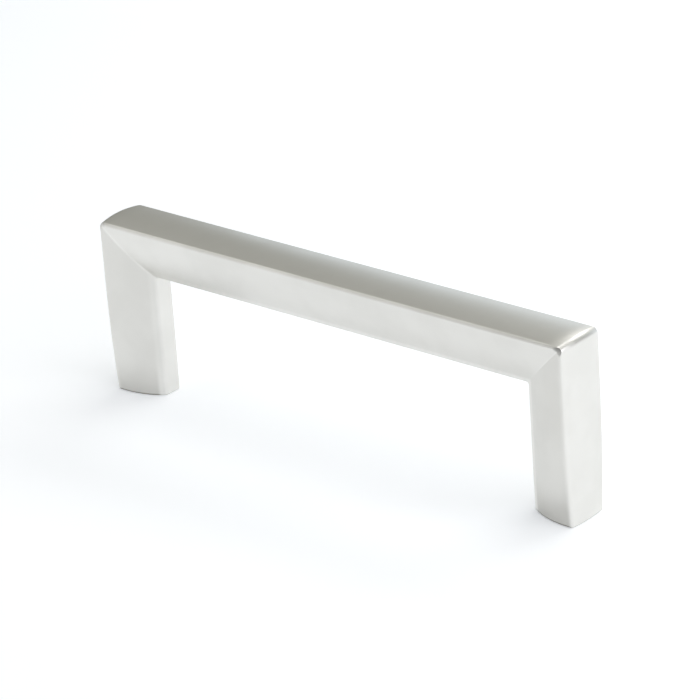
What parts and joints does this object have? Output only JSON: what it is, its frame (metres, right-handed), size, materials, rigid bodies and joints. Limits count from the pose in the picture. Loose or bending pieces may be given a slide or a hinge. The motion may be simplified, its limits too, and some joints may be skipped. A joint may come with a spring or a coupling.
{
  "type": "cabinet pull",
  "caption": "Square-cornered bridge pull for a drawer or cabinet door: a bar on two legs cast in one piece, with a tapped screw hole in each foot, in satin nickel.",
  "frame": {"origin": "middle of the pull on its mounting plane, halfway between the two screw holes", "axes": "+X along the bar, +Y from front to back, +Z away from the drawer front"},
  "size_m": [0.1068, 0.0106, 0.0344],
  "materials": {
    "satin_nickel": "satin"
  },
  "bodies": {
    "root": {"pull": "satin_nickel"}
  },
  "joints": []
}
